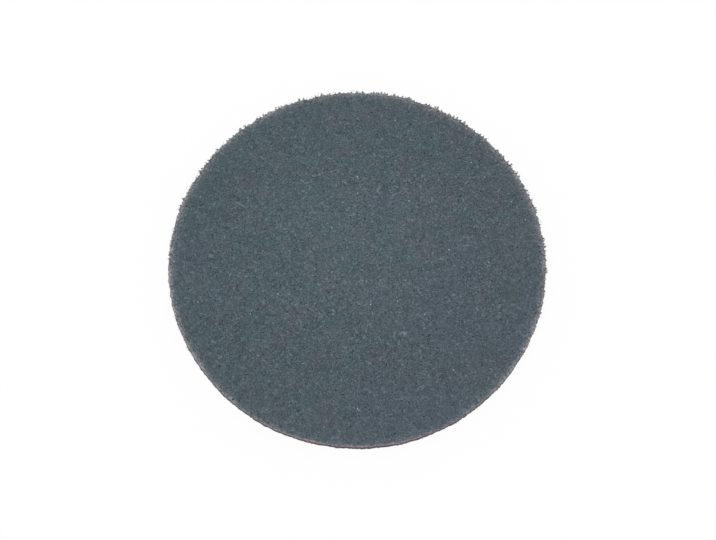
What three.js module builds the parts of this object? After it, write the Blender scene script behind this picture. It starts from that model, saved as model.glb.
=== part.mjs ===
// A floor machine pad: one thick disc, die-cut from a lofty non-woven web of curly, resin-bonded
// fibres, as it goes under a rotary floor machine. It has no hub, hole, hem or backing.
// The pad lies flat. The origin is the middle of the face that it lies on, and +Z runs up
// through its thickness. Both faces are alike and either one can be the working face.
import * as THREE from "three";

// Driving dimensions, in millimetres
const padDiameter = 432; // a 17 inch pad, measured over the die line
const padThickness = 25; // a 1 inch web
const shoulderRadius = 3; // the cut corner springs back round when the die lifts
const wallBulge = 0.8; // how far the cut wall stands proud at half thickness
const tuftPitch = 5.6; // from one tuft of fibre ends to the next, along the rim
const tuftReach = 1.8; // the furthest that a tuft springs out past the die line
const tuftGap = 0.9; // the deepest that the wall draws back between two tufts
const tuftLean = 0.18; // the furthest that a tuft leans along the rim, as a share of its pitch
const hollowDepth = 0.8; // the faces sink this far between their flat lands
const hollowSpan = 74; // from one hollow to the next, across a face
const slantSpan = 106; // from crest to crest, along x, of a slanting wave that unsettles their rows
const slantShare = 0.6; // how far that wave turns from x towards y
const hollowStart = 0.1; // how deep the waves have to dip together before a land ends
const hollowFull = 2.4; // and where a hollow has its whole depth
const faceSteps = 13; // facets from the middle of a face out to its shoulder
const shoulderSteps = 2; // facets round each shoulder
const cornersPerTuft = 2; // its tip and the gap beside it
const scatterSteps = [127.1, 311.7]; // unlike steps, so that no two corners share a scatter
const scatterGain = 43758.5453; // large enough that neighbours have nothing in common
const webColour = 0x525e64; // slate grey with a little green and blue

// Worked out from the driving dimensions
const dieRadius = padDiameter / 2;
const landRadius = dieRadius - shoulderRadius; // the faces end here, where the shoulders begin
const rimCount = cornersPerTuft * Math.round((Math.PI * padDiameter) / tuftPitch);

// A repeatable scatter from 0 to 1 for two whole numbers, so that every build frays alike
function scatter(a, b) {
  const wave = Math.sin(a * scatterSteps[0] + b * scatterSteps[1]) * scatterGain;
  return wave - Math.floor(wave);
}

// The rings of the underside, from its middle out to the shoulder. Each has as many corners as
// make its facets about as long round the ring as they are across it.
function faceRings() {
  const rings = [{ radius: 0, height: 0, count: 1, fray: 0 }];
  for (let step = 1; step < faceSteps; step += 1) {
    const count = Math.round(2 * Math.PI * step);
    rings.push({ radius: (landRadius * step) / faceSteps, height: 0, count, fray: 0 });
  }
  return rings;
}

// The rings of the lower shoulder, a quarter circle from the face round to the upright wall
function shoulderRings() {
  const rings = [];
  for (let step = 0; step <= shoulderSteps; step += 1) {
    const turn = ((Math.PI / 2) * step) / shoulderSteps;
    rings.push({
      radius: landRadius + shoulderRadius * Math.sin(turn),
      height: shoulderRadius * (1 - Math.cos(turn)),
      count: rimCount,
      fray: step / shoulderSteps,
    });
  }
  return rings;
}

// Every ring of the pad, from the middle of the underside, round the wall, to the middle of the top
function padRings() {
  const lower = [...faceRings(), ...shoulderRings()];
  const wall = { radius: dieRadius + wallBulge, height: padThickness / 2, count: rimCount, fray: 1 };
  const upper = lower.map((ring) => ({ ...ring, height: padThickness - ring.height })).reverse();
  return [...lower, wall, ...upper];
}

// How far a face has sunk below its lands at a point. It is nothing on the lands, which lie in one plane.
function hollow(x, y) {
  const turn = (2 * Math.PI) / hollowSpan;
  const slantTurn = (2 * Math.PI) / slantSpan;
  const slant = Math.cos((x - slantShare * y) * slantTurn);
  const dip = -(Math.cos(x * turn) + Math.cos(y * turn) + slant);
  return hollowDepth * THREE.MathUtils.smoothstep(dip, hollowStart, hollowFull);
}

// Where one corner of a ring lies, with the fraying of the rim and the hollows of the faces
function cornerOf(ring, ringNumber, corner) {
  const isTip = corner % cornersPerTuft === 1;
  const reach = scatter(corner, ringNumber) * (isTip ? tuftReach : -tuftGap);
  const lean = (2 * scatter(ringNumber, corner) - 1) * tuftLean * cornersPerTuft;
  const angle = ((corner + lean * ring.fray) * 2 * Math.PI) / ring.count;
  const radius = ring.radius + reach * ring.fray;
  const x = radius * Math.cos(angle);
  const y = radius * Math.sin(angle);
  const upwards = (2 * ring.height) / padThickness - 1; // -1 on the underside, 1 on the top
  const sunk = upwards > 0 ? hollow(x, y) : hollow(y, x);
  return new THREE.Vector3(x, y, ring.height - sunk * upwards);
}

// The triangles between two neighbouring rings, given as lists of corner numbers. The lists may
// differ in length: each step takes the ring whose next corner comes first round the circle.
function bridge(inner, outer) {
  const triangles = [];
  let i = 0;
  let o = 0;
  while (i < inner.length || o < outer.length) {
    const innerIsNext = (i + 1) / inner.length < (o + 1) / outer.length;
    const here = inner[i % inner.length];
    const there = outer[o % outer.length];
    if (innerIsNext) {
      i += 1;
      triangles.push([here, inner[i % inner.length], there]);
    } else {
      o += 1;
      triangles.push([here, outer[o % outer.length], there]);
    }
  }
  return triangles.filter(([a, b, c]) => a !== b && b !== c && c !== a);
}

// The closed skin of the pad
function padGeometry() {
  const positions = [];
  const rings = padRings().map((ring, ringNumber) => {
    const first = positions.length / 3;
    for (let corner = 0; corner < ring.count; corner += 1) {
      positions.push(...cornerOf(ring, ringNumber, corner).toArray());
    }
    return Array.from({ length: ring.count }, (_, corner) => first + corner);
  });
  const triangles = rings.slice(1).flatMap((ring, number) => bridge(rings[number], ring));
  const geometry = new THREE.BufferGeometry();
  geometry.setAttribute("position", new THREE.Float32BufferAttribute(positions, 3));
  geometry.setIndex(triangles.flat());
  geometry.computeVertexNormals();
  return geometry;
}

const padDisc = new THREE.Mesh(
  padGeometry(),
  new THREE.MeshStandardMaterial({ color: webColour, roughness: 0.95, metalness: 0 }),
);
padDisc.name = "pad_disc";

const floorPad = new THREE.Group();
floorPad.name = "floor_machine_pad";
floorPad.add(padDisc);

export default floorPad;
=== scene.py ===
"""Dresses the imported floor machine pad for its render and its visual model.

The pad is one disc of lofty non-woven web: curly crimped fibres laid down in layers, bonded with
resin and cut out with a round die. The body of the web is one mesh with the relief of its loft,
and loose fibres lie on both faces and stand out of the cut wall.
"""

import logging
import math
import random
from dataclasses import dataclass, field
from enum import Enum
from functools import cached_property

import bmesh
import bpy
import numpy as np
from mathutils import Matrix, Vector, noise


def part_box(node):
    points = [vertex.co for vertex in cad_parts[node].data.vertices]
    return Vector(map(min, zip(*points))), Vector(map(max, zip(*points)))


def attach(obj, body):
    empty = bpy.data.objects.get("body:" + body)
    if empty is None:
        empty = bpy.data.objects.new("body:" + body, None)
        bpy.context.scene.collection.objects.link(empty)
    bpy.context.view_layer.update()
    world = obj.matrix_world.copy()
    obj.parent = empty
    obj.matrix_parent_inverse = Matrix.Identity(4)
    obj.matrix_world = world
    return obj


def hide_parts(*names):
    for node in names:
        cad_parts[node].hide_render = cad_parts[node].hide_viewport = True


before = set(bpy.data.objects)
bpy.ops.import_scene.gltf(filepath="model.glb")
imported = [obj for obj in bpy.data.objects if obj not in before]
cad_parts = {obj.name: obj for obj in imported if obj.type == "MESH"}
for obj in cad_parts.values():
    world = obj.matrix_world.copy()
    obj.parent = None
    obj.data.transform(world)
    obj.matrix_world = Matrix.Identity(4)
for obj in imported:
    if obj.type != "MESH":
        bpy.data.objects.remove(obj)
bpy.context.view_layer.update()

MM = 0.001
PAD_NODE = "pad_disc"
PAD_BODY = "root"
BAKE_MAP = "OFBake"  # the name of each piece's own UV map
TONE = "tone"  # the attribute that says how light a fibre is, from 0 to 1
GOLDEN_ANGLE = math.pi * (3 - math.sqrt(5))  # turns of this size spread points evenly
NOISE_SPAN = (0.3, 0.7)  # the texture of smooth noise seldom leaves these levels
NOISE_MIDDLE = 0.5
SHIFT_WAY = (1.0, 0.37, 0.71)  # a noise is moved this way, which runs along no axis of it
SCREEN_OFFSET = 0.055  # this and the next turn a screen's colour into a linear one
SCREEN_POWER = 2.4

Colour = tuple[float, float, float, float]
Socket = bpy.types.NodeSocket
Value = Socket | float | tuple | list

log = logging.getLogger("floor_pad")


class Face(Enum):
    """The two working faces of the pad, each with the way that it looks along Z."""

    TOP = 1
    UNDERSIDE = -1


def smoothstep(value: float, low: float, high: float) -> float:
    """An S-shaped rise from 0 at low to 1 at high."""
    share = min(max((value - low) / (high - low), 0.0), 1.0)
    return share * share * (3.0 - 2.0 * share)


def linear(code: str) -> Colour:
    """Turns a colour as the screen shows it into the same colour as the shaders take it.

    Args:
        code: Red, green and blue in hexadecimal digits, such as 52606A.

    Returns:
        The colour, with an alpha of 1.
    """
    shares = [int(code[at : at + 2], 16) / 255 for at in (0, 2, 4)]
    raised = [(share + SCREEN_OFFSET) / (1 + SCREEN_OFFSET) for share in shares]
    red, green, blue = (share**SCREEN_POWER for share in raised)
    return (red, green, blue, 1.0)


def object_from(bm: bmesh.types.BMesh, name: str) -> bpy.types.Object:
    """Turns a bmesh into an object at the origin and frees the bmesh.

    Args:
        bm: The finished mesh.
        name: What the object and its mesh are called.

    Returns:
        The object, shaded smooth.
    """
    mesh = bpy.data.meshes.new(name)
    bm.to_mesh(mesh)
    bm.free()
    mesh.shade_smooth()
    piece = bpy.data.objects.new(name, mesh)
    bpy.context.scene.collection.objects.link(piece)
    return piece


@dataclass(frozen=True)
class Tuft:
    """One small brush of fibre ends on the cut wall, which the die left pointing outwards."""

    angle: float
    height: float
    length: float


@dataclass(frozen=True)
class WebShape:
    """The shape of the web, which its body and its loose fibres share. Sizes are in metres."""

    thickness: float
    die_radius: float = 216 * MM  # a 17 inch pad
    shoulder: float = 3 * MM  # the cut corner springs back round
    bulge: float = 0.8 * MM  # how far the wall stands proud at half thickness
    tuft_rows: int = 4  # up the wall
    tufts_round: int = 380  # in each row
    tuft_stagger: float = 0.45  # how far a tuft strays from its place in the row, in pitches
    tuft_seed: int = 5
    shortest_tuft: float = 0.9 * MM
    longest_tuft: float = 3.35 * MM
    tuft_rarity: float = 1.05  # the higher, the fewer of the tufts are long
    pressed: float = 0.5  # the lowest row is shorter by this factor, pressed against the floor
    front_trim: float = 0.45  # and so are the tufts of the worn side, towards -Y
    back_trim: float = 1.2  # while those of the other side are longer
    rough_side: float = math.radians(78)  # where they are longest, from the X axis
    worn_cosine: float = -0.7  # they are shortest where the cosine of the angle from there is less
    rough_cosine: float = 0.8  # and longest where it is more than this
    wave_height: float = 1.5 * MM  # the cut strays in and out of the die line this far
    wave_size: float = 22 * MM  # in waves of about this size
    ripple_height: float = 1.1 * MM  # and in shorter ripples that lie over those
    ripple_size: float = 8.5 * MM
    tuft_foot: float = 1.6 * MM  # half the width of a tuft where it leaves the wall
    tuft_drag: float = 1.7  # the die draws a tuft out by this factor, up and down the wall
    tuft_core: float = 0.6  # this share of a tuft's length is dense enough to be solid web
    gap_depth: float = 1.0 * MM  # the wall draws back this far between its tufts
    stray_reach: float = 3.0 * MM  # no loose fibre stands further out past the die line
    hollow_depth: float = 0.8 * MM  # the faces sink this far between their flat lands
    hollow_span: float = 74 * MM
    slant_span: float = 106 * MM  # of the slanting wave that unsettles the rows of hollows
    slant_share: float = 0.6  # how far that wave turns from X towards Y
    hollow_start: float = 0.1  # how deep the waves have to dip together before a land ends
    hollow_full: float = 2.4  # and where a hollow has its whole depth
    loft_height: float = 0.36 * MM  # the uneven loft of the faces
    loft_size: float = 4.2 * MM
    swell_height: float = 0.2 * MM  # and its broader swells
    swell_size: float = 21 * MM
    skin: float = 0.75 * MM  # the loose fibres of a face lie within this depth

    @property
    def land_radius(self) -> float:
        """Where the faces end and the shoulders begin."""
        return self.die_radius - self.shoulder

    def hollow(self, x: float, y: float, face: Face) -> float:
        """Works out how far a face has sunk below its lands at a point.

        Args:
            x: The point's place across the pad.
            y: The same, towards the back.
            face: The face.

        Returns:
            A depth, which is nothing on the lands.
        """
        if face is Face.UNDERSIDE:
            x, y = y, x
        turn = 2 * math.pi / self.hollow_span
        slant = math.cos((x - self.slant_share * y) * 2 * math.pi / self.slant_span)
        dip = -(math.cos(x * turn) + math.cos(y * turn) + slant)
        return self.hollow_depth * smoothstep(dip, self.hollow_start, self.hollow_full)

    def loft(self, x: float, y: float, face: Face) -> float:
        """Works out the uneven rise and fall of the web on a face, at two sizes.

        Args:
            x: The point's place across the pad.
            y: The same, towards the back.
            face: The face.

        Returns:
            A height, which is below nothing where the web is thin.
        """
        place = Vector((x, y, face.value * self.die_radius))
        fine = noise.noise(place / self.loft_size)
        broad = noise.noise(place / self.swell_size)
        return self.loft_height * fine + self.swell_height * broad

    def sunk(self, x: float, y: float, face: Face) -> float:
        """How far the body of the web lies below the flat plane of a face at a point."""
        return self.skin + self.hollow(x, y, face) - self.loft(x, y, face)

    @cached_property
    def tufts(self) -> list[list[Tuft]]:
        """Scatters the tufts over the wall.

        Returns:
            The tufts, row by row from the floor up, and each row round from the X axis.
        """
        dice = random.Random(self.tuft_seed)
        rows = []
        for row in range(self.tuft_rows):
            scale = self.pressed if row == 0 else 1.0
            rows.append([self._tuft(dice, row, number, scale) for number in range(self.tufts_round)])
        return rows

    def _tuft(self, dice: random.Random, row: int, number: int, scale: float) -> Tuft:
        """Places one tuft near its place in its row. Every second row starts half a pitch on.

        Args:
            dice: The source of chance.
            row: The number of its row, from the floor up.
            number: Its own number in the row.
            scale: How much shorter the tufts of this row are.

        Returns:
            The tuft.
        """
        around = number + 0.5 * (row % 2) + dice.uniform(-self.tuft_stagger, self.tuft_stagger)
        upwards = row + 0.5 + dice.uniform(-self.tuft_stagger, self.tuft_stagger)
        spare = (self.longest_tuft - self.shortest_tuft) * dice.random() ** self.tuft_rarity
        angle = 2 * math.pi * around / self.tufts_round
        height = self.thickness * upwards / self.tuft_rows
        return Tuft(angle, height, scale * self.trim(angle) * (self.shortest_tuft + spare))

    def trim(self, angle: float) -> float:
        """How rough the wall is at an angle from the X axis: less so on the worn side."""
        fresh = smoothstep(math.cos(angle - self.rough_side), self.worn_cosine, self.rough_cosine)
        return self.front_trim + fresh * (self.back_trim - self.front_trim)

    def cut_line(self, angle: float) -> float:
        """Works out how far the wall lies past the die line, without its bulge and its tufts.

        Args:
            angle: From the X axis.

        Returns:
            A distance, which is mostly below nothing, because the wall draws back.
        """
        place = Vector((math.cos(angle), math.sin(angle), 0)) * self.die_radius
        wave = self.wave_height * noise.noise(place / self.wave_size)
        ripple = self.ripple_height * noise.noise(place / self.ripple_size)
        return (wave + ripple - self.gap_depth) * self.trim(angle)

    def wall_reach(self, x: float, y: float, z: float) -> float:
        """Works out how far the cut wall stands out past the smooth disc at a point.

        Args:
            x: The point's place across the pad.
            y: The same, towards the back.
            z: Its height.

        Returns:
            The bulge and the tufts together, which is below nothing in the gaps.
        """
        half = self.thickness / 2
        bulge = self.bulge * (1 - ((z - half) / half) ** 2)
        turn = math.atan2(y, x)
        column = round(turn / (2 * math.pi) * self.tufts_round)
        row = int(z / self.thickness * self.tuft_rows)
        swell = 0.0
        for tufts in self.tufts[max(row - 1, 0) : row + 2]:
            # a tuft lies from half a place before its number to a whole place after it
            for number in range(column - 2, column + 2):
                tuft = tufts[number % self.tufts_round]
                along = math.remainder(turn - tuft.angle, 2 * math.pi) * self.die_radius
                upwards = (z - tuft.height) / self.tuft_drag
                share = 1 - (along**2 + upwards**2) / self.tuft_foot**2
                swell = max(swell, share * tuft.length * self.tuft_core)
        return bulge + swell + self.cut_line(turn)

    def shoulder_radius(self, height: float) -> float:
        """Works out the radius of the smooth disc, which its shoulders take in.

        Args:
            height: The height above the floor.

        Returns:
            The radius at that height.
        """
        depth = max(min(height, self.thickness - height), 0.0)
        if depth >= self.shoulder:
            return self.die_radius
        rise = self.shoulder - depth
        return self.land_radius + math.sqrt(self.shoulder**2 - rise**2)


class Recipe:
    """A short way to write the node tree of a material or the world."""

    def __init__(self, owner: bpy.types.ID) -> None:
        """Starts with an empty tree.

        Args:
            owner: The material or the world.
        """
        owner.use_nodes = True
        self.tree = owner.node_tree
        self.tree.nodes.clear()

    def node(self, kind: str, settings: dict[str, str] | None = None, **inputs: Value) -> bpy.types.Node:
        """Adds a node.

        Args:
            kind: Its type, without the ShaderNode in front.
            settings: Its own properties by name.
            inputs: A number, colour or socket for each input, by name with _ for a blank.

        Returns:
            The node.
        """
        node = self.tree.nodes.new("ShaderNode" + kind)
        for key, value in (settings or {}).items():
            setattr(node, key, value)
        for key, value in inputs.items():
            self.feed(node.inputs[key.replace("_", " ")], value)
        return node

    def feed(self, socket: Socket, value: Value) -> None:
        """Links a socket to another one, or sets it to a number or a colour.

        Args:
            socket: The input.
            value: What it gets.
        """
        if isinstance(value, bpy.types.NodeSocket):
            self.tree.links.new(value, socket)
        else:
            socket.default_value = value

    def math(self, operation: str, *values: Value) -> Socket:
        """Adds one step of arithmetic.

        Args:
            operation: What is done, as the Math node calls it.
            values: The numbers that it is done to.

        Returns:
            The result.
        """
        node = self.node("Math", {"operation": operation})
        for socket, value in zip(node.inputs, values):
            self.feed(socket, value)
        return node.outputs[0]

    def span(self, value: Value, low: float, high: float, start: float, end: float) -> Socket:
        """Adds a smooth change from one number to another.

        Args:
            value: What it depends on.
            low: Where the change begins.
            high: Where it is complete.
            start: The number below low.
            end: The number above high.

        Returns:
            The changed number.
        """
        settings = {"interpolation_type": "SMOOTHSTEP"}
        names = {"From_Min": low, "From_Max": high, "To_Min": start, "To_Max": end}
        return self.node("MapRange", settings, Value=value, **names).outputs[0]

    def scaled(self, colour: Value, factor: Value) -> Socket:
        """A colour made lighter or darker."""
        node = self.node("VectorMath", {"operation": "SCALE"}, Vector=colour, Scale=factor)
        return node.outputs[0]

    def noise(self, place: Value, size: float, detail: float = 0.0, shift: float = 0.0) -> Socket:
        """Adds smooth noise.

        Args:
            place: Object coordinates.
            size: How large its features are, in metres.
            detail: How many finer layers lie on top of the first.
            shift: Moves it, so that two noises of one size differ.

        Returns:
            A number from 0 to 1.
        """
        location = tuple(share * shift for share in SHIFT_WAY)
        moved = self.node("Mapping", Vector=place, Location=location)
        texture = self.node("TexNoise", Vector=moved.outputs[0], Scale=1 / size, Detail=detail)
        return texture.outputs["Fac"]

    def mix(self, share: Value, first: Value, second: Value) -> Socket:
        """Adds a colour between two others.

        Args:
            share: How much of the second there is, from 0 to 1.
            first: The first colour.
            second: The second colour.

        Returns:
            The mixed colour.
        """
        node = self.node("Mix", {"data_type": "RGBA"}, Factor=share)
        colours = [socket for socket in node.inputs if socket.type == "RGBA"]
        for socket, colour in zip(colours, (first, second)):
            self.feed(socket, colour)
        return next(socket for socket in node.outputs if socket.type == "RGBA")


@dataclass(frozen=True)
class PadPlace:
    """Where the shaded point lies on the pad, as sockets of one material."""

    whole: Socket  # object coordinates
    flat: Socket  # the same without the height
    y: Socket
    z: Socket
    inside: Socket  # how far it lies inside the die line

    @classmethod
    def of(cls, recipe: Recipe, shape: WebShape) -> "PadPlace":
        """Reads the place from the object's own coordinates.

        Args:
            recipe: The material that is being written.
            shape: The web.

        Returns:
            The place.
        """
        whole = recipe.node("TexCoord").outputs["Object"]
        axes = recipe.node("SeparateXYZ", Vector=whole).outputs
        flat = recipe.node("CombineXYZ", X=axes["X"], Y=axes["Y"]).outputs[0]
        radius = recipe.node("VectorMath", {"operation": "LENGTH"}, Vector=flat).outputs["Value"]
        inside = recipe.math("SUBTRACT", shape.die_radius, radius)
        return cls(whole, flat, axes["Y"], axes["Z"], inside)


@dataclass(frozen=True)
class Spots:
    """Small spots that are scattered over a face, at most one to each cell of a loose grid."""

    pitch: float  # of the grid
    share: float  # of its cells that have a spot
    radius: float
    tint: Colour
    core: float = 0.3  # this share of the radius has the whole tint

    def over(self, recipe: Recipe, flat: Socket, colour: Socket) -> Socket:
        """Lays the spots over a colour.

        Args:
            recipe: The material that is being written.
            flat: Object coordinates without the height.
            colour: What shows between the spots.

        Returns:
            The colour with its spots.
        """
        settings = {"voronoi_dimensions": "2D"}
        cells = recipe.node("TexVoronoi", settings, Vector=flat, Scale=1 / self.pitch).outputs
        chance = recipe.node("SeparateColor", Color=cells["Color"]).outputs["Red"]
        chosen = recipe.math("LESS_THAN", chance, self.share)
        edge = self.radius / self.pitch
        spot = recipe.span(cells["Distance"], self.core * edge, edge, 1.0, 0.0)
        return recipe.mix(recipe.math("MULTIPLY", chosen, spot), colour, self.tint)


@dataclass(frozen=True)
class PadFinish:
    """What the finishes of the body and of the loose fibres share: a tint by place on the pad.

    The faces are slate with abrasive resin. The rim is painted lighter and greyer, as light that
    comes through its open fibres, and a painted pool of light lies over the middle of each face. The cut
    wall is painted lighter high up and darker low down, as light and shade, and is warmer on the worn side,
    towards -Y.
    """

    shape: WebShape
    name: str
    green_tint: Colour = linear("4E6066")
    grey_tint: Colour = linear("545F66")  # these two drift into one another over the face
    blue_tint: Colour = linear("525F69")  # and this one lies over both in broad sweeps
    drift_size: float = 21 * MM
    drift_levels: tuple[float, float] = (0.25, 0.75)  # where the drift leaves green and reaches grey
    drift_lean: tuple[float, float] = (0.13, -0.03)  # it is greyer towards +X and -Y, at the rim
    sweep_size: float = 75 * MM
    sweep_levels: tuple[float, float] = (0.45, 0.85)  # where the sweeps begin and are at their bluest
    sweep_lean: tuple[float, float] = (0.0, -0.22)  # it is bluer towards -Y by this, at the rim
    # painted light that comes through the open fibres of the rim
    rim_backlight_tint: Colour = linear("A6A4A6")
    rim_fade: float = 3.4 * MM  # the painted rim light falls by two thirds in this distance
    front_fade: float = 1.8 * MM  # and in this on the worn side
    fade_end: float = 0.3  # the worn side's fade changes into the other up to here, in radii along Y
    rim_patch: float = 2.1 * MM  # the painted rim light comes and goes at this size
    rim_swing: float = 0.65  # and by so much
    front_share: float = 0.2  # how much of it the worn side has
    front_span: tuple[float, float] = (-0.95, -0.6)  # where that changes, in radii along Y
    # the wall is painted lighter high up, as rim light, and darker low down, as shade by the floor
    wall_high_lit: Colour = linear("7C7A7C")
    wall_low_shaded: Colour = linear("696567")
    front_high_lit: Colour = linear("B2A3A6")
    front_low_shaded: Colour = linear("675659")
    warm_end: float = -0.7  # the wall is warmer up to here, in radii along Y
    wall_start: float = 2.8 * MM  # the wall's own colour begins this far below a face
    wall_soften: float = 2 * MM  # and comes in over this distance
    wander_size: float = 5 * MM  # how broad the waves of that line are
    wander_height: float = 2.0 * MM
    mottle_size: float = 17 * MM
    mottle_detail: float = 2.0
    mottle_levels: tuple[float, float] = (0.25, 0.75)
    mottle: float = 0.1  # how much of the lightness comes and goes in soft patches
    light_pool: float = 0.15  # painted pool of light: how much lighter the pad is in its middle than near its rim
    light_pool_radius: float = 205 * MM
    light_pool_middle: tuple[float, float] = (-15 * MM, 25 * MM)
    rim_strength: float = 0.71  # how much of the web's pattern shows at the rim of a face
    middle_strength: float = 0.93  # and in its middle
    strength_reach: float = 90 * MM  # the one changes into the other over this distance
    cast_levels: tuple[float, float] = (0.6, 1.6)  # the shades of a coated and of a bare fibre
    coated_cast: Colour = (0.95, 1.0, 1.025, 1.0)  # fibres that resin covers are bluer
    bare_cast: Colour = (1.09, 0.99, 0.955, 1.0)  # than bare ones
    specks: Spots = Spots(pitch=15 * MM, share=0.045, radius=0.8 * MM, tint=linear("CED6DB"))
    # dark spots of painted shade, where holes of the web lie
    shaded_holes: Spots = Spots(pitch=8 * MM, share=0.14, radius=1.3 * MM, tint=linear("24292C"))

    @cached_property
    def material(self) -> bpy.types.Material:
        """Writes the material, when the first piece asks for it.

        Returns:
            The material, which every piece of this finish shares.
        """
        material = bpy.data.materials.new(self.name)
        recipe = Recipe(material)
        at = PadPlace.of(recipe, self.shape)
        recipe.node("OutputMaterial", Surface=self.surface(recipe, at))
        return material

    def surface(self, recipe: Recipe, at: PadPlace) -> Socket:
        """The shader of the finish, which each kind of finish writes for itself."""
        raise NotImplementedError

    def tinted(self, recipe: Recipe, at: PadPlace, shade: Socket) -> Socket:
        """Works out the colour of the web.

        Args:
            recipe: The material that is being written.
            at: Where the shaded point lies.
            shade: How light the web's own pattern is there, where 1 is the mean, with any painted shade in
                it.

        Returns:
            The colour.
        """
        face_tint = self._face_tint(recipe, at)
        wall_tint = self._wall_tint(recipe, at)
        on_wall = self._on_wall(recipe, at)
        tint = recipe.mix(on_wall, face_tint, wall_tint)
        shade = self._weighed(recipe, at, shade, on_wall)
        bareness = recipe.span(shade, *self.cast_levels, 0.0, 1.0)
        cast = recipe.mix(bareness, self.coated_cast, self.bare_cast)
        product = recipe.node("VectorMath", {"operation": "MULTIPLY"}, Vector=tint)
        recipe.feed(product.inputs[1], cast)
        return recipe.scaled(product.outputs[0], shade)

    def _weighed(self, recipe: Recipe, at: PadPlace, shade: Socket, on_wall: Socket) -> Socket:
        """Makes the web's pattern weaker near the rim of a face.

        Args:
            recipe: The material that is being written.
            at: Where the shaded point lies.
            shade: How light the pattern is, where 1 is the mean.
            on_wall: 1 on the wall, which keeps its whole pattern, and 0 on the faces.

        Returns:
            The weaker pattern, with the same mean.
        """
        levels = (self.rim_strength, self.middle_strength)
        strength = recipe.span(at.inside, 0.0, self.strength_reach, *levels)
        strength = recipe.math("MAXIMUM", strength, on_wall)
        swing = recipe.math("SUBTRACT", shade, 1.0)
        return recipe.math("MULTIPLY_ADD", swing, strength, 1.0)

    def _face_tint(self, recipe: Recipe, at: PadPlace) -> Socket:
        """Works out the tint of a face: its drifting colours, the rim's painted light, soft patches, a
        painted pool of light and the spots.

        Args:
            recipe: The material that is being written.
            at: Where the shaded point lies.

        Returns:
            The colour.
        """
        drift = self._leaning(recipe, at, self.drift_size, self.drift_lean)
        sweep = self._leaning(recipe, at, self.sweep_size, self.sweep_lean)
        greyness = recipe.span(drift, *self.drift_levels, 0.0, 1.0)
        blueness = recipe.span(sweep, *self.sweep_levels, 0.0, 1.0)
        tint = recipe.mix(greyness, self.green_tint, self.grey_tint)
        tint = recipe.mix(blueness, tint, self.blue_tint)
        # painted light at the rim, which comes through its open fibres
        tint = recipe.mix(self._rim_backlight_share(recipe, at), tint, self.rim_backlight_tint)
        # soft patches, and a painted pool of light over the middle
        tint = recipe.scaled(tint, self._mottle_and_light_pool(recipe, at))
        for spots in (self.specks, self.shaded_holes):  # small light specks, and dark spots of painted shade in the web's holes
            tint = spots.over(recipe, at.flat, tint)
        return tint

    def _leaning(self, recipe: Recipe, at: PadPlace, size: float, lean: tuple[float, float]) -> Socket:
        """Adds smooth noise that is higher on one side of the pad than on the other.

        Args:
            recipe: The material that is being written.
            at: Where the shaded point lies.
            size: How large the noise's features are.
            lean: How much higher it is at the rim towards +X and towards +Y.

        Returns:
            A number that is mostly from 0 to 1.
        """
        slope = [share / self.shape.die_radius for share in (*lean, 0)]
        product = recipe.node("VectorMath", {"operation": "DOT_PRODUCT"}, Vector=at.flat)
        recipe.feed(product.inputs[1], slope)
        return recipe.math("ADD", recipe.noise(at.whole, size), product.outputs["Value"])

    def _rim_backlight_share(self, recipe: Recipe, at: PadPlace) -> Socket:
        """Works out how much of the rim's painted light a face has.

        Args:
            recipe: The material that is being written.
            at: Where the shaded point lies.

        Returns:
            A share that falls away inwards, in patches, and is smaller on the worn side.
        """
        reach = self.shape.die_radius
        depth = recipe.math("ABSOLUTE", at.inside)
        fade = recipe.span(at.y, -reach, self.fade_end * reach, -self.front_fade, -self.rim_fade)
        fallen = recipe.math("EXPONENT", recipe.math("DIVIDE", depth, fade))
        patches = recipe.noise(at.whole, self.rim_patch)
        patches = recipe.span(patches, *NOISE_SPAN, 1 - self.rim_swing, 1 + self.rim_swing)
        start, end = (share * reach for share in self.front_span)
        side = recipe.span(at.y, start, end, self.front_share, 1.0)
        return recipe.math("MULTIPLY", recipe.math("MULTIPLY", fallen, patches), side)

    def _mottle_and_light_pool(self, recipe: Recipe, at: PadPlace) -> Socket:
        """Works out how light a face is over its whole width.

        Args:
            recipe: The material that is being written.
            at: Where the shaded point lies.

        Returns:
            A factor, with soft patches and a painted pool of light round a point near the middle.
        """
        patches = recipe.noise(at.whole, self.mottle_size, self.mottle_detail)
        swing = self.mottle / 2
        mottle = recipe.span(patches, *self.mottle_levels, 1 - swing, 1 + swing)
        # a painted pool of light, lighter round a point near the middle
        away = recipe.node("VectorMath", {"operation": "DISTANCE"}, Vector=at.flat)
        recipe.feed(away.inputs[1], (*self.light_pool_middle, 0))
        light_pool = recipe.span(away.outputs["Value"], 0.0, self.light_pool_radius, self.light_pool, 0.0)
        return recipe.math("ADD", mottle, light_pool)

    def _wall_tint(self, recipe: Recipe, at: PadPlace) -> Socket:
        """Works out the tint of the cut wall: painted light high up, painted shade low down, warmer on the
        worn side.

        Args:
            recipe: The material that is being written.
            at: Where the shaded point lies.

        Returns:
            The colour.
        """
        shape = self.shape
        upwards = recipe.span(at.z, shape.thickness / 2, shape.thickness - self.wall_start, 0.0, 1.0)
        # painted light high up and painted shade low down
        plain = recipe.mix(upwards, self.wall_low_shaded, self.wall_high_lit)
        warm = recipe.mix(upwards, self.front_low_shaded, self.front_high_lit)
        warmth = recipe.span(at.y, -shape.die_radius, self.warm_end * shape.die_radius, 1.0, 0.0)
        return recipe.mix(warmth, plain, warm)

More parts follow.
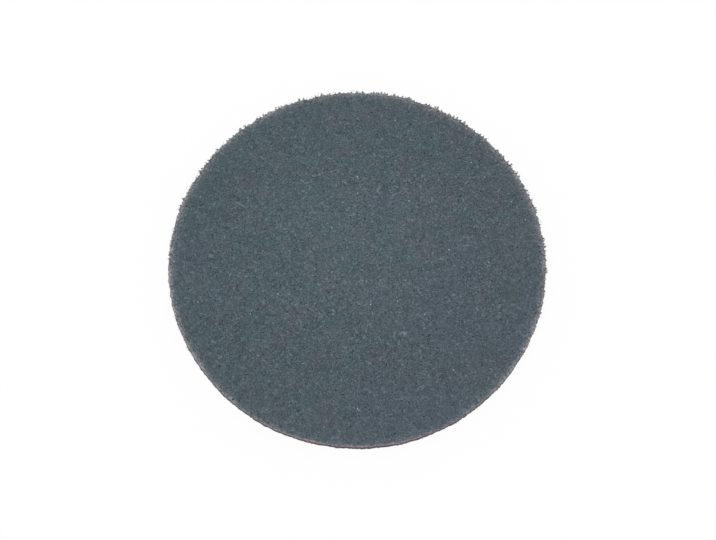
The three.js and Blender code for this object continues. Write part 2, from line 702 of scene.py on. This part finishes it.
    def _on_wall(self, recipe: Recipe, at: PadPlace) -> Socket:
        """Tells the cut wall from the faces.

        Args:
            recipe: The material that is being written.
            at: Where the shaded point lies.

        Returns:
            1 on the wall and 0 on the faces, with a soft and wandering line between them.
        """
        half = self.shape.thickness / 2
        off_middle = recipe.math("ABSOLUTE", recipe.math("SUBTRACT", at.z, half))
        wander = recipe.span(recipe.noise(at.whole, self.wander_size), *NOISE_SPAN, 0.0, 1.0)
        off_middle = recipe.math("MULTIPLY_ADD", wander, self.wander_height, off_middle)
        start = half - self.wall_start + self.wander_height / 2
        on_side = recipe.span(off_middle, start - self.wall_soften, start, 1.0, 0.0)
        outwards = recipe.span(at.inside, 0.0, self.shape.shoulder, 1.0, 0.0)
        return recipe.math("MULTIPLY", on_side, outwards)


@dataclass(frozen=True)
class BodyFinish(PadFinish):
    """The body of the web: a felt of fibres, matt with abrasive resin, with painted shade in its pits."""

    name: str = "felted_web"
    curl_sizes: tuple[float, float] = (3.4 * MM, 2.3 * MM)
    curl_width: float = 0.055  # the curls run where the noise is this near its middle
    curl_shift: float = 0.31  # between the noises of the two sizes
    curl_height: float = 0.55  # how far the curls stand out of the grain
    grain_size: float = 1.1 * MM
    grain_detail: float = 1.5
    layering: float = 2.3  # the wall's pattern is this much flatter than the faces' is
    pit_levels: tuple[float, float] = (0.3, 0.6)  # where painted shade darkens a pit, from its bottom to the mean
    pit_shade: float = 0.1
    crest_levels: tuple[float, float] = (0.6, 1.1)  # where painted light brightens a curl, from the mean to its top
    crest_shade: float = 1.6
    pit_roughness: float = 0.97
    crest_roughness: float = 0.78
    bump_height: float = 0.5 * MM
    bump_strength: float = 0.9

    def surface(self, recipe: Recipe, at: PadPlace) -> Socket:
        """Writes the felt's shader.

        Args:
            recipe: The material that is being written.
            at: Where the shaded point lies.

        Returns:
            The shader.
        """
        layered = recipe.node("Mapping", Vector=at.whole, Scale=(1, 1, self.layering)).outputs[0]
        curls = self._curls(recipe, layered)
        grain = recipe.noise(layered, self.grain_size, self.grain_detail)
        height = recipe.math("MULTIPLY_ADD", curls, self.curl_height, grain)
        # the pits are painted dark as shade, and the tops of the curls painted light
        dark = recipe.span(height, *self.pit_levels, 1 - self.pit_shade, 0.0)
        light = recipe.span(height, *self.crest_levels, 1.0, self.crest_shade)
        shade = recipe.math("SUBTRACT", light, dark)
        bump = recipe.node("Bump", Height=height, Distance=self.bump_height, Strength=self.bump_strength)
        shader = recipe.node(
            "BsdfPrincipled",
            Base_Color=self.tinted(recipe, at, shade),
            Roughness=recipe.span(curls, 0.0, 1.0, self.pit_roughness, self.crest_roughness),
            Normal=bump.outputs[0],
        )
        return shader.outputs[0]

    def _curls(self, recipe: Recipe, place: Socket) -> Socket:
        """Draws thin curling lines, which run where a smooth noise passes through its middle.

        Args:
            recipe: The material that is being written.
            place: Object coordinates.

        Returns:
            1 on a line and 0 off it.
        """
        lines = []
        for number, size in enumerate(self.curl_sizes):
            level = recipe.noise(place, size, shift=self.curl_shift * number)
            off = recipe.math("ABSOLUTE", recipe.math("SUBTRACT", level, NOISE_MIDDLE))
            lines.append(recipe.span(off, 0.0, self.curl_width, 1.0, 0.0))
        return recipe.math("MAXIMUM", *lines)


@dataclass(frozen=True)
class FibreFinish(PadFinish):
    """A loose fibre: some are dark with resin and some are nearly bare, and each is uneven."""

    name: str = "loose_fibre"
    least_shade: float = 0.62
    most_shade: float = 1.55
    bead_size: float = 1.6 * MM  # from one bead of resin to the next along a fibre
    bead_detail: float = 1.0
    bead_share: float = 0.4  # how much of a fibre's lightness its beads settle
    bead_roughness: float = 0.9
    bare_roughness: float = 0.62
    bump_height: float = 0.12 * MM
    bump_strength: float = 0.6

    def surface(self, recipe: Recipe, at: PadPlace) -> Socket:
        """Writes the fibre's shader.

        Args:
            recipe: The material that is being written.
            at: Where the shaded point lies.

        Returns:
            The shader.
        """
        tone = recipe.node("Attribute", {"attribute_name": TONE}).outputs["Fac"]
        beads = recipe.noise(at.whole, self.bead_size, self.bead_detail)
        beaded = recipe.span(beads, *NOISE_SPAN, 0.0, self.bead_share)
        lightness = recipe.math("MULTIPLY_ADD", tone, 1 - self.bead_share, beaded)
        spread = self.most_shade - self.least_shade
        shade = recipe.math("MULTIPLY_ADD", lightness, spread, self.least_shade)
        bump = recipe.node("Bump", Height=beads, Distance=self.bump_height, Strength=self.bump_strength)
        shader = recipe.node(
            "BsdfPrincipled",
            Base_Color=self.tinted(recipe, at, shade),
            Roughness=recipe.span(beads, *NOISE_SPAN, self.bare_roughness, self.bead_roughness),
            Normal=bump.outputs[0],
        )
        return shader.outputs[0]


@dataclass(frozen=True)
class CutFibreFinish(FibreFinish):
    """A fibre of the cut wall, which is darker, because it stands in the shade of its neighbours."""

    name: str = "tuft_fibre"
    least_shade: float = 0.5
    most_shade: float = 1.25


@dataclass
class PadPiece:
    """One piece of the pad, which builds its own mesh and dresses it."""

    shape: WebShape
    finish: PadFinish
    name: str

    def build(self) -> bpy.types.Object:
        """Makes the piece's object. Each kind of piece answers for itself."""
        raise NotImplementedError

    def dress(self, piece: bpy.types.Object) -> None:
        """Gives the piece its finish and its body in the frame.

        Args:
            piece: The object that was built.
        """
        piece.data.materials.append(self.finish.material)
        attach(piece, PAD_BODY)


@dataclass
class WebBody(PadPiece):
    """The body of the web: two faces, each a grid drawn out round, and the cut wall between them."""

    name: str = "web_body"
    fill: float = 1.0  # the web is stiff with resin, and holds its full loft
    grid_steps: int = 200  # squares across the grid of a face
    wall_steps: int = 10  # rings between the two shoulders
    shoulder_steps: int = 3
    weld: float = 0.01 * MM
    face_share: float = 0.49  # how much of the map's width one face has
    top_middle: tuple[float, float] = (0.25, 0.25)  # where the middle of the top lies on the map
    under_middle: tuple[float, float] = (0.75, 0.25)  # and the middle of the underside
    strip_count: int = 4  # the wall's map lies in this many strips, one above another
    strip_start: float = 0.51  # the lowest of them begins at this height of the map
    strip_pitch: float = 0.12
    strip_height: float = 0.108
    strip_margin: float = 0.01
    strip_length: float = 0.97

    def build(self) -> bpy.types.Object:
        """Makes the body's object.

        Returns:
            The object, with a closed mesh and a UV map of its own.
        """
        bm = bmesh.new()
        steps = self.grid_steps
        bmesh.ops.create_grid(bm, x_segments=steps, y_segments=steps, size=1.0)
        for vert in bm.verts:
            vert.co = self._round_place(vert.co.x, vert.co.y)
        top_rim = [edge for edge in bm.edges if edge.is_boundary]
        copied = bmesh.ops.duplicate(bm, geom=bm.verts[:] + bm.edges[:] + bm.faces[:])["geom"]
        under = [item for item in copied if isinstance(item, bmesh.types.BMVert)]
        bmesh.ops.translate(bm, verts=under, vec=(0, 0, -self.shape.thickness))
        self._draw_wall(bm, top_rim)
        bmesh.ops.remove_doubles(bm, verts=bm.verts[:], dist=self.weld)
        bmesh.ops.recalc_face_normals(bm, faces=bm.faces[:])
        self._lay_out_map(bm)
        for vert in bm.verts:
            vert.co = self._with_relief(vert.co)
        return object_from(bm, self.name)

    def dress(self, piece: bpy.types.Object) -> None:
        """Dresses the body as every piece, and lets it stand for the plain disc of the frame.

        Args:
            piece: The object that was built.
        """
        super().dress(piece)
        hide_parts(PAD_NODE)

    def _round_place(self, u: float, v: float) -> Vector:
        """Draws a point of a square grid out to its place on the round top, with even spacing.

        Args:
            u: The point's place across the square, from -1 to 1.
            v: The same, up the square.

        Returns:
            The place.
        """
        if u == v == 0:
            return Vector((0, 0, self.shape.thickness))
        if abs(u) > abs(v):
            radius, angle = u, math.pi / 4 * v / u
        else:
            radius, angle = v, math.pi / 2 - math.pi / 4 * u / v
        radius *= self.shape.land_radius
        return Vector((radius * math.cos(angle), radius * math.sin(angle), self.shape.thickness))

    def _heights(self) -> list[float]:
        """Works out the heights of the wall's rings.

        Returns:
            The heights, from just under the top down to the underside.
        """
        shape = self.shape
        turns = [math.pi / 2 * step / self.shoulder_steps for step in range(self.shoulder_steps + 1)]
        depths = [shape.shoulder * (1 - math.cos(turn)) for turn in turns]
        straight = shape.thickness - 2 * shape.shoulder
        walls = [shape.shoulder + straight * step / self.wall_steps for step in range(1, self.wall_steps)]
        lower = [shape.thickness - depth for depth in reversed(depths)]
        return [shape.thickness - depth for depth in [*depths[1:], *walls, *lower]]

    def _draw_wall(self, bm: bmesh.types.BMesh, rim: list[bmesh.types.BMEdge]) -> None:
        """Draws the top's rim down ring by ring, until it lies on the underside's rim.

        Args:
            bm: The mesh that holds both faces.
            rim: The edges round the top face.
        """
        for height in self._heights():
            made = bmesh.ops.extrude_edge_only(bm, edges=rim)["geom"]
            ring = {item for item in made if isinstance(item, bmesh.types.BMVert)}
            radius = self.shape.shoulder_radius(height)
            for vert in ring:
                flat = vert.co.xy.normalized() * radius
                vert.co = (flat.x, flat.y, height)
            edges = (item for item in made if isinstance(item, bmesh.types.BMEdge))
            rim = [edge for edge in edges if ring.issuperset(edge.verts)]

    def _with_relief(self, place: Vector) -> Vector:
        """Moves a point of the smooth disc along the relief of the web.

        Args:
            place: The point on the smooth disc.

        Returns:
            Its place on the web.
        """
        shape = self.shape
        face = Face.TOP if place.z > shape.thickness / 2 else Face.UNDERSIDE
        depth = min(place.z, shape.thickness - place.z)
        on_face = 1 - smoothstep(depth, 0, shape.shoulder)
        height = place.z - face.value * shape.sunk(place.x, place.y, face) * on_face
        if place.xy.length <= shape.land_radius - shape.shoulder:
            return Vector((place.x, place.y, height))
        on_wall = smoothstep(place.xy.length, shape.land_radius - shape.shoulder, shape.die_radius)
        flat = place.xy * (1 + on_wall * shape.wall_reach(*place) / place.xy.length)
        return Vector((flat.x, flat.y, height))

    def _lay_out_map(self, bm: bmesh.types.BMesh) -> None:
        """Maps the two faces as round patches side by side, and the wall as strips above them.

        Args:
            bm: The smooth disc.
        """
        layer = bm.loops.layers.uv.new(BAKE_MAP)
        for face in bm.faces:
            middle = face.calc_center_median()
            on_face = middle.xy.length < self.shape.land_radius
            for loop in face.loops:
                place = loop.vert.co
                loop[layer].uv = self._on_patch(place, middle) if on_face else self._on_strip(place, middle)

    def _on_patch(self, place: Vector, middle: Vector) -> tuple[float, float]:
        """Finds a point of a face on the map.

        Args:
            place: The point.
            middle: The middle of the polygon that it belongs to.

        Returns:
            Its place on the map.
        """
        scale = self.face_share / (2 * self.shape.die_radius)
        on_top = middle.z > self.shape.thickness / 2
        across, up = self.top_middle if on_top else self.under_middle
        return (across + scale * place.x, up + scale * place.y)

    def _on_strip(self, place: Vector, middle: Vector) -> tuple[float, float]:
        """Finds a point of the wall on the map.

        Args:
            place: The point.
            middle: The middle of the polygon that it belongs to, whose strip it takes.

        Returns:
            Its place on the map.
        """
        arc = 2 * math.pi / self.strip_count
        turn = math.atan2(middle.y, middle.x) + math.pi
        strip = int(turn / arc)
        here = math.atan2(place.y, place.x) + math.pi
        beyond = math.remainder(here - turn, 2 * math.pi) + turn - strip * arc
        along = self.strip_margin + self.strip_length * beyond / arc
        up = self.strip_pitch * strip + self.strip_height * place.z / self.shape.thickness
        return (along, self.strip_start + up)


@dataclass(frozen=True)
class Fibre:
    """One kind of loose fibre: a thin three-sided tube that curls from side to side and weaves."""

    segments: int
    step: float  # the length of one segment
    radius: float
    bend: float  # the sharpest turn between two segments, in radians
    change: float  # the most that the turn changes from one segment to the next
    weave: float  # how far it rises and dips
    weave_turn: float = 1.15  # how fast it does, in radians for each segment
    sides: int = 3
    cap_reach: float = 0.3  # how far an end's patch of the map runs along the first segment

    def template(self, dice: random.Random) -> bpy.types.Mesh:
        """Extrudes one curl of this kind, which starts at the origin.

        Args:
            dice: The source of chance for the curl.

        Returns:
            A closed mesh.
        """
        bm = bmesh.new()
        facing = Matrix.Rotation(math.pi / 2, 4, "Y")
        bmesh.ops.create_circle(
            bm, cap_ends=True, radius=self.radius, segments=self.sides, matrix=facing
        )
        tip = bm.faces[:][0]
        heading, centre = Vector((1, 0, 0)), Vector((0, 0, 0))
        bend, phase = dice.uniform(-self.bend, self.bend), dice.uniform(0, 2 * math.pi)
        for number in range(self.segments):
            made = bmesh.ops.extrude_face_region(bm, geom=[tip])["geom"]
            if number > 0:  # the first face closes the root, and any other would lie inside
                bmesh.ops.delete(bm, geom=[tip], context="FACES_ONLY")
            tip = next(item for item in made if isinstance(item, bmesh.types.BMFace))
            change = dice.uniform(-self.change, self.change)
            bend = min(max(bend + change, -self.bend), self.bend)
            turn = Matrix.Rotation(bend, 3, "Z")
            heading = turn @ heading
            stride = heading * self.step + Vector((0, 0, self._rise(phase, number)))
            bmesh.ops.rotate(bm, cent=centre, matrix=turn, verts=tip.verts[:])
            bmesh.ops.translate(bm, vec=stride, verts=tip.verts[:])
            centre += stride
        bmesh.ops.recalc_face_normals(bm, faces=bm.faces[:])
        mesh = bpy.data.meshes.new("fibre_template")
        bm.to_mesh(mesh)
        bm.free()
        return mesh

    def _rise(self, phase: float, number: int) -> float:
        """How far a segment climbs, over and under its neighbours in the web."""
        start, end = (math.sin(phase + at * self.weave_turn) for at in (number, number + 1))
        return self.weave * (end - start)

    def map_corners(self, mesh: bpy.types.Mesh) -> np.ndarray:
        """Lays the sides of a template as strips along the unit square, one above another.

        Args:
            mesh: A template, whose vertices come ring by ring.

        Returns:
            One row of two numbers for each corner of a face.
        """
        corners = np.zeros((len(mesh.loops), 2))
        strips_used = [0] * self.segments
        for face in mesh.polygons:
            rings = [index // self.sides for index in face.vertices]
            first, count = face.loop_start, face.loop_total
            ring = min(rings)
            if ring == max(rings):
                end = ring / self.segments
                nudge = self.cap_reach / self.segments * (1 if ring == 0 else -1)
                for corner in range(count):
                    corners[first + corner] = (end + nudge * (corner == 1), corner / (count - 1))
                continue
            strip = strips_used[ring]
            strips_used[ring] += 1
            start = next(at for at in range(count) if rings[at - 1] != ring == rings[at])
            for at, (along, up) in enumerate(((0, 0), (0, 1), (1, 1), (1, 0))):
                corner = first + (start + at) % count
                corners[corner] = ((ring + along) / self.segments, (strip + up) / self.sides)
        return corners


@dataclass(frozen=True)
class Placement:
    """Where one fibre goes: which template it uses, how it is turned and moved, and its tone."""

    template: int
    matrix: Matrix
    tone: float


@dataclass
class FibreBatch(PadPiece):
    """Many loose fibres of one kind in one piece. A subclass says where each of them goes."""

    fibre: Fibre
    count: int
    seed: int
    template_count: int = 24  # unlike curls, which the fibres take in turn
    map_margin: float = 0.06  # round each fibre's square of the map
    dice: random.Random = field(init=False, repr=False)
    points: list[np.ndarray] = field(init=False, repr=False, default_factory=list)

    def __post_init__(self) -> None:
        """Starts the batch's own source of chance."""
        self.dice = random.Random(self.seed)

    def place(self, number: int, template: int) -> Placement:
        """Says where a fibre goes. Each kind of batch answers for itself."""
        raise NotImplementedError

    def build(self) -> bpy.types.Object:
        """Makes the batch's object.

        Returns:
            The object, in which each fibre is a closed tube with its own patch of the UV map.
        """
        templates = [self.fibre.template(self.dice) for _ in range(self.template_count)]
        self.points = [self._centred(mesh) for mesh in templates]
        chosen = [number % self.template_count for number in range(self.count)]
        placements = [self.place(number, template) for number, template in enumerate(chosen)]
        bm = bmesh.new()
        for placement in placements:
            bm.from_mesh(templates[placement.template])
        piece = object_from(bm, self.name)
        laid = [self._settled(self.points[item.template], item.matrix) for item in placements]
        piece.data.vertices.foreach_set("co", np.concatenate(laid).ravel())
        self._note_tones(piece.data, placements)
        self._lay_out_map(piece.data, self.fibre.map_corners(templates[0]))
        for mesh in templates:
            bpy.data.meshes.remove(mesh)
        return piece

    def _centred(self, mesh: bpy.types.Mesh) -> np.ndarray:
        """The points of a template, moved so that the point it turns round is at the origin."""
        points = np.array([vert.co for vert in mesh.vertices])
        return points - self.pivot(points)

    def pivot(self, points: np.ndarray) -> np.ndarray:
        """The point of a template that a placement turns it round."""
        return points.mean(axis=0)

    def _settled(self, points: np.ndarray, matrix: Matrix) -> np.ndarray:
        """Lays a fibre where it goes, and keeps it off the floor and close to the web.

        Args:
            points: The points of its template.
            matrix: How they are turned and moved.

        Returns:
            The points where they lie.
        """
        placed = points @ np.array(matrix.to_3x3()).T + np.array(matrix.translation)
        low, high = placed[:, 2].min(), placed[:, 2].max()
        ceiling = self.shape.thickness + self.fibre.radius
        if low < 0:
            placed[:, 2] -= low
        elif high > ceiling:
            placed[:, 2] -= high - ceiling
        reach = np.hypot(placed[:, 0], placed[:, 1]).max()
        limit = self.shape.die_radius + self.shape.stray_reach
        if reach > limit:
            placed[:, :2] *= limit / reach
        return placed

    def _note_tones(self, mesh: bpy.types.Mesh, placements: list[Placement]) -> None:
        """Gives each point of the batch the tone of its fibre.

        Args:
            mesh: The mesh of the batch.
            placements: Its fibres, in the mesh's order.
        """
        tones = mesh.attributes.new(TONE, "FLOAT", "POINT")
        each = len(mesh.vertices) // self.count
        tones.data.foreach_set("value", np.repeat([item.tone for item in placements], each))

    def _lay_out_map(self, mesh: bpy.types.Mesh, corners: np.ndarray) -> None:
        """Gives each fibre a small square of the UV map, all squares in rows.

        Args:
            mesh: The mesh of the batch.
            corners: The map of one fibre, on a unit square.
        """
        rows = math.ceil(math.sqrt(self.count))
        numbers = np.arange(self.count)
        origins = np.stack((numbers % rows, numbers // rows), axis=1)[:, None, :]
        inside = self.map_margin + (1 - 2 * self.map_margin) * corners[None, :, :]
        laid = (origins + inside) / rows
        layer = mesh.uv_layers.new(name=BAKE_MAP)
        layer.uv.foreach_set("vector", laid.astype(np.float32).ravel())


@dataclass
class FaceFibres(FibreBatch):
    """Loose fibres that lie curled on a face of the pad."""

    face: Face = Face.TOP
    angle_spread: float = 0.02  # how far a fibre strays from its place round the face, in radians
    slope_reach: float = 5 * MM  # the slope under a fibre is read this far to each side

    def place(self, number: int, template: int) -> Placement:
        """Spreads the fibres evenly over the face, each at a chance turn, on the slope there.

        Args:
            number: The fibre's number in the batch.
            template: Its template's number.

        Returns:
            Where it goes.
        """
        shape, dice = self.shape, self.dice
        radius = shape.land_radius * math.sqrt((number + dice.random()) / self.count)
        angle = number * GOLDEN_ANGLE + dice.uniform(-self.angle_spread, self.angle_spread)
        x, y = radius * math.cos(angle), radius * math.sin(angle)
        plane = shape.thickness if self.face is Face.TOP else 0.0
        lift = dice.uniform(0.0, shape.skin - self.fibre.weave)
        height = plane - self.face.value * (shape.sunk(x, y, self.face) - lift)
        turn = Matrix.Rotation(dice.uniform(0, 2 * math.pi), 4, "Z")
        slope = self._normal(x, y).to_track_quat("Z", "Y").to_matrix().to_4x4()
        matrix = Matrix.Translation((x, y, height)) @ slope @ turn
        return Placement(template, matrix, dice.random())

    def _normal(self, x: float, y: float) -> Vector:
        """Works out the upward normal of the face, smoothed over the width of a curl.

        Args:
            x: The point's place across the pad.
            y: The same, towards the back.

        Returns:
            A vector of unit length.
        """
        reach, face, hollow = self.slope_reach, self.face, self.shape.hollow
        along = hollow(x + reach, y, face) - hollow(x - reach, y, face)
        across = hollow(x, y + reach, face) - hollow(x, y - reach, face)
        return Vector((face.value * along, face.value * across, 2 * reach)).normalized()


@dataclass
class WallCurls(FibreBatch):
    """Loose fibres that lie curled on the cut wall, mostly level, as the web was laid."""

    slope: float = math.radians(28)  # the usual angle between a curl and the level
    margin: float = 2.5 * MM  # the middle of a curl stays this far from both faces

    def place(self, number: int, template: int) -> Placement:
        """Spreads the curls evenly round the wall, each with its own plane against the wall.

        Args:
            number: The curl's number in the batch.
            template: Its template's number.

        Returns:
            Where it goes.
        """
        shape, dice = self.shape, self.dice
        angle = number * GOLDEN_ANGLE
        height = dice.uniform(self.margin, shape.thickness - self.margin)
        outwards = Vector((math.cos(angle), math.sin(angle), 0))
        upwards = Vector((0, 0, 1))
        facing = Matrix((upwards.cross(outwards), upwards, outwards)).transposed().to_4x4()
        turn = Matrix.Rotation(dice.gauss(0, self.slope), 4, "Z")
        matrix = Matrix.Translation(outwards * shape.die_radius + upwards * height) @ facing @ turn
        return Placement(template, matrix, dice.random())

    def _settled(self, points: np.ndarray, matrix: Matrix) -> np.ndarray:
        """Lays a curl as every fibre, and then moves each point in or out to follow the wall.

        Args:
            points: The points of its template.
            matrix: How they are turned and moved.

        Returns:
            The points where they lie.
        """
        placed = super()._settled(points, matrix)
        for place in placed:
            x, y, z = place
            radius = math.hypot(x, y)
            lift = radius - self.shape.die_radius
            wall = self.shape.shoulder_radius(z) + self.shape.wall_reach(x, y, z)
            place[:2] *= (wall + lift) / radius
        return placed


@dataclass
class WallFibres(FibreBatch):
    """The fibre ends that make up the tufts of the cut wall, each tuft drawn to a point."""

    buried: float = 0.7 * MM  # the root of a fibre lies this far inside the wall
    root_spread: float = 0.9 * MM  # how far the roots of a tuft lie from its middle
    tip_spread: float = 0.4 * MM  # and how far its fibres usually end from its tip
    tip_lean: float = 1.0 * MM  # how far a tuft's tip strays up, down or sideways
    reach_spread: float = 0.25  # how much longer or shorter one fibre is than its tuft

    @cached_property
    def owners(self) -> list[Tuft]:
        """The tuft that each fibre belongs to: the longer a tuft is, the more of them it has."""
        tufts = [tuft for row in self.shape.tufts for tuft in row]
        return self.dice.choices(tufts, weights=[tuft.length**2 for tuft in tufts], k=self.count)

    def pivot(self, points: np.ndarray) -> np.ndarray:
        """A wall fibre turns round its root."""
        return points[: self.fibre.sides].mean(axis=0)

    def place(self, number: int, template: int) -> Placement:
        """Runs a fibre from its root in the wall to the tip of its tuft, with a chance roll.

        Args:
            number: The fibre's number in the batch.
            template: Its template's number.

        Returns:
            Where it goes.
        """
        tuft = self.owners[number]
        root, tip = self._root(tuft), self._tip(tuft)
        points = self.points[template]
        chord = Vector(points[-self.fibre.sides :].mean(axis=0))
        stretch = (tip - root).length / chord.length
        matrix = (
            Matrix.Translation(root)
            @ Matrix.Rotation(self.dice.uniform(0, 2 * math.pi), 4, tip - root)
            @ chord.rotation_difference(tip - root).to_matrix().to_4x4()
            @ Matrix.Scale(stretch, 4)
        )
        return Placement(template, matrix, self.dice.random())

    def _root(self, tuft: Tuft) -> Vector:
        """Picks where a fibre of a tuft leaves the wall.

        Args:
            tuft: The tuft.

        Returns:
            A point a little inside the wall.
        """
        sideways = self.dice.uniform(-self.root_spread, self.root_spread)
        upwards = self.dice.uniform(-self.root_spread, self.root_spread)
        angle = tuft.angle + sideways / self.shape.die_radius
        return self._at(angle, tuft.height + upwards, -self.buried, on_wall=True)

    def _tip(self, tuft: Tuft) -> Vector:
        """Picks where a fibre of a tuft ends, near the tip that the whole tuft leans to.

        Args:
            tuft: The tuft.

        Returns:
            A point outside the wall.
        """
        shape, dice = self.shape, self.dice
        lean = random.Random(tuft.angle)  # every fibre of a tuft leans as the tuft does
        sideways = lean.uniform(-self.tip_lean, self.tip_lean) + dice.gauss(0, self.tip_spread)
        upwards = lean.uniform(-self.tip_lean, self.tip_lean) + dice.gauss(0, self.tip_spread)
        length = tuft.length * (1 + dice.uniform(-self.reach_spread, self.reach_spread))
        out = length + shape.cut_line(tuft.angle)
        angle = tuft.angle + sideways / shape.die_radius
        return self._at(angle, tuft.height + upwards, out, on_wall=False)

    def _at(self, angle: float, height: float, out: float, on_wall: bool) -> Vector:
        """Finds a point by its angle and height.

        Args:
            angle: From the X axis.
            height: Above the floor. It is kept within the pad.
            out: How far the point is outside the wall or the smooth disc.
            on_wall: Which of the two.

        Returns:
            The point.
        """
        height = min(max(height, 0.0), self.shape.thickness)
        radius = self.shape.shoulder_radius(height)
        x, y = radius * math.cos(angle), radius * math.sin(angle)
        if on_wall:
            out += self.shape.wall_reach(x, y, height)
        return Vector((x, y, height)) + Vector((x, y, 0)).normalized() * out


@dataclass(frozen=True)
class FloorPad:
    """The whole pad: the body of its web and the batches of loose fibres on and round it."""

    shape: WebShape
    curl: Fibre = Fibre(
        segments=12, step=1.8 * MM, radius=0.2 * MM, bend=0.95, change=0.45, weave=0.32 * MM
    )
    tuft_end: Fibre = Fibre(
        segments=6, step=0.6 * MM, radius=0.2 * MM, bend=0.5, change=0.35, weave=0.1 * MM
    )
    top_count: int = 2600  # in each of the two batches of curls on the top
    underside_count: int = 1700
    wall_count: int = 1350  # of curls along the wall
    end_count: int = 5200  # of fibre ends in its tufts

    def pieces(self) -> list[PadPiece]:
        """Plans the pad's pieces.

        Returns:
            The pieces in the order that they are made.
        """
        shape, curl = self.shape, self.curl
        loose = FibreFinish(shape)
        cut = CutFibreFinish(shape)
        return [
            WebBody(shape, BodyFinish(shape)),
            FaceFibres(shape, loose, "top_fibres_lower", curl, self.top_count, seed=11),
            FaceFibres(shape, loose, "top_fibres_upper", curl, self.top_count, seed=12),
            FaceFibres(
                shape,
                loose,
                "underside_fibres",
                curl,
                self.underside_count,
                seed=13,
                face=Face.UNDERSIDE,
            ),
            WallCurls(shape, cut, "wall_curls", curl, self.wall_count, seed=15),
            WallFibres(shape, cut, "wall_tufts", self.tuft_end, self.end_count, seed=14),
        ]


@dataclass(frozen=True)
class Studio:
    """A white floor, white surroundings and plain soft light."""

    floor_size: float = 12.0
    floor_gap: float = 0.05 * MM  # below the pad's lowest fibres
    floor_albedo: Colour = (0.94, 0.94, 0.94, 1.0)
    camera_white: float = 0.9  # how much of the floor's look is plain white to the camera
    fill: float = 0.6  # the world's light, where 1 shows each colour as it is written
    key_share: float = 0.45  # the key light's part, on a level surface
    key_side: tuple[float, float, float] = (-0.35, -0.6, 1.7)  # where the key light comes from
    key_spread: float = math.radians(34)
    white: Colour = (1.0, 1.0, 1.0, 1.0)

    def build(self) -> None:
        """Makes the floor, the world and the key light."""
        bm = bmesh.new()
        bmesh.ops.create_grid(bm, x_segments=1, y_segments=1, size=self.floor_size / 2)
        bmesh.ops.translate(bm, verts=bm.verts[:], vec=(0, 0, -self.floor_gap))
        floor = object_from(bm, "studio_floor")
        floor.data.materials.append(self._floor_material())
        self._light_world()
        self._hang_key()

    def _background_rays(self, recipe: Recipe) -> Socket:
        """Tells the rays that show the background itself from those that light the pad.

        Args:
            recipe: The material or the world that is being written.

        Returns:
            1 for a ray of the camera, a reflection or a clear piece, and 0 for any other.
        """
        rays = recipe.node("LightPath").outputs
        glossy = recipe.math("MAXIMUM", rays["Is Glossy Ray"], rays["Is Transmission Ray"])
        return recipe.math("MAXIMUM", rays["Is Camera Ray"], glossy)

    def _floor_material(self) -> bpy.types.Material:
        """Writes white paper that looks evenly white to the camera but keeps the pad's shadow.

        Returns:
            The material.
        """
        material = bpy.data.materials.new("white_paper")
        recipe = Recipe(material)
        paper = recipe.node("BsdfDiffuse", Color=self.floor_albedo)
        white = recipe.node("Emission", Color=self.white, Strength=1.0)
        share = recipe.math("MULTIPLY", self._background_rays(recipe), self.camera_white)
        mixed = recipe.node("MixShader", Fac=share)
        recipe.feed(mixed.inputs[1], paper.outputs[0])
        recipe.feed(mixed.inputs[2], white.outputs[0])
        recipe.node("OutputMaterial", Surface=mixed.outputs[0])
        return material

    def _light_world(self) -> None:
        """Makes plain white surroundings, which light the pad at their own lower strength."""
        world = bpy.data.worlds.new("studio")
        bpy.context.scene.world = world
        recipe = Recipe(world)
        shown = self._background_rays(recipe)
        strength = recipe.math("MULTIPLY_ADD", shown, 1 - self.fill, self.fill)
        sky = recipe.node("Background", Color=self.white, Strength=strength)
        recipe.node("OutputWorld", Surface=sky.outputs[0])

    def _hang_key(self) -> None:
        """Hangs one broad soft light high up, a little to the front and the left of the pad."""
        side = Vector(self.key_side).normalized()
        lamp = bpy.data.lights.new("key_light", "SUN")
        lamp.angle = self.key_spread
        lamp.energy = self.key_share * math.pi / side.z
        key = bpy.data.objects.new("key_light", lamp)
        key.rotation_euler = side.to_track_quat("Z", "Y").to_euler()
        bpy.context.scene.collection.objects.link(key)


@dataclass(frozen=True)
class PhotoCamera:
    """The camera of the photo: in front of the pad and high above it."""

    middle: Vector  # of the pad
    aim: tuple[float, float] = (0.8 * MM, -12.2 * MM)  # the photo is centred this far from it
    distance: float = 1.096
    elevation: float = math.radians(70.0)
    focal_length: float = 47.8  # this and the next are in millimetres, as a lens is named
    sensor_width: float = 36.0
    nearest: float = 0.01  # nothing closer to the camera than this is drawn

    def build(self) -> None:
        """Makes the camera and gives it to the scene."""
        lens = bpy.data.cameras.new("photo_camera")
        lens.lens = self.focal_length
        lens.sensor_width = self.sensor_width
        lens.clip_start = self.nearest
        camera = bpy.data.objects.new("photo_camera", lens)
        back = Vector((0, -math.cos(self.elevation), math.sin(self.elevation)))
        aim = self.middle + Vector((*self.aim, 0))
        camera.location = aim + back * self.distance
        camera.rotation_euler = (math.pi / 2 - self.elevation, 0, 0)
        bpy.context.scene.collection.objects.link(camera)
        bpy.context.scene.camera = camera


def report(piece: bpy.types.Object) -> None:
    """Logs how many triangles a finished piece has."""
    piece.data.calc_loop_triangles()
    log.info("%s: %d triangles", piece.name, len(piece.data.loop_triangles))


def main() -> None:
    """Builds the camera, the pad's pieces and the studio in order, and reports each piece."""
    logging.basicConfig(level=logging.INFO, format="%(name)s: %(message)s")
    bpy.context.scene.view_settings.view_transform = "Standard"
    low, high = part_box(PAD_NODE)
    shape = WebShape(thickness=high.z - low.z)
    PhotoCamera(middle=Vector((0, 0, shape.thickness / 2))).build()
    for part in FloorPad(shape).pieces():
        piece = part.build()
        part.dress(piece)
        report(piece)
    Studio().build()


if __name__ == "__main__":
    main()
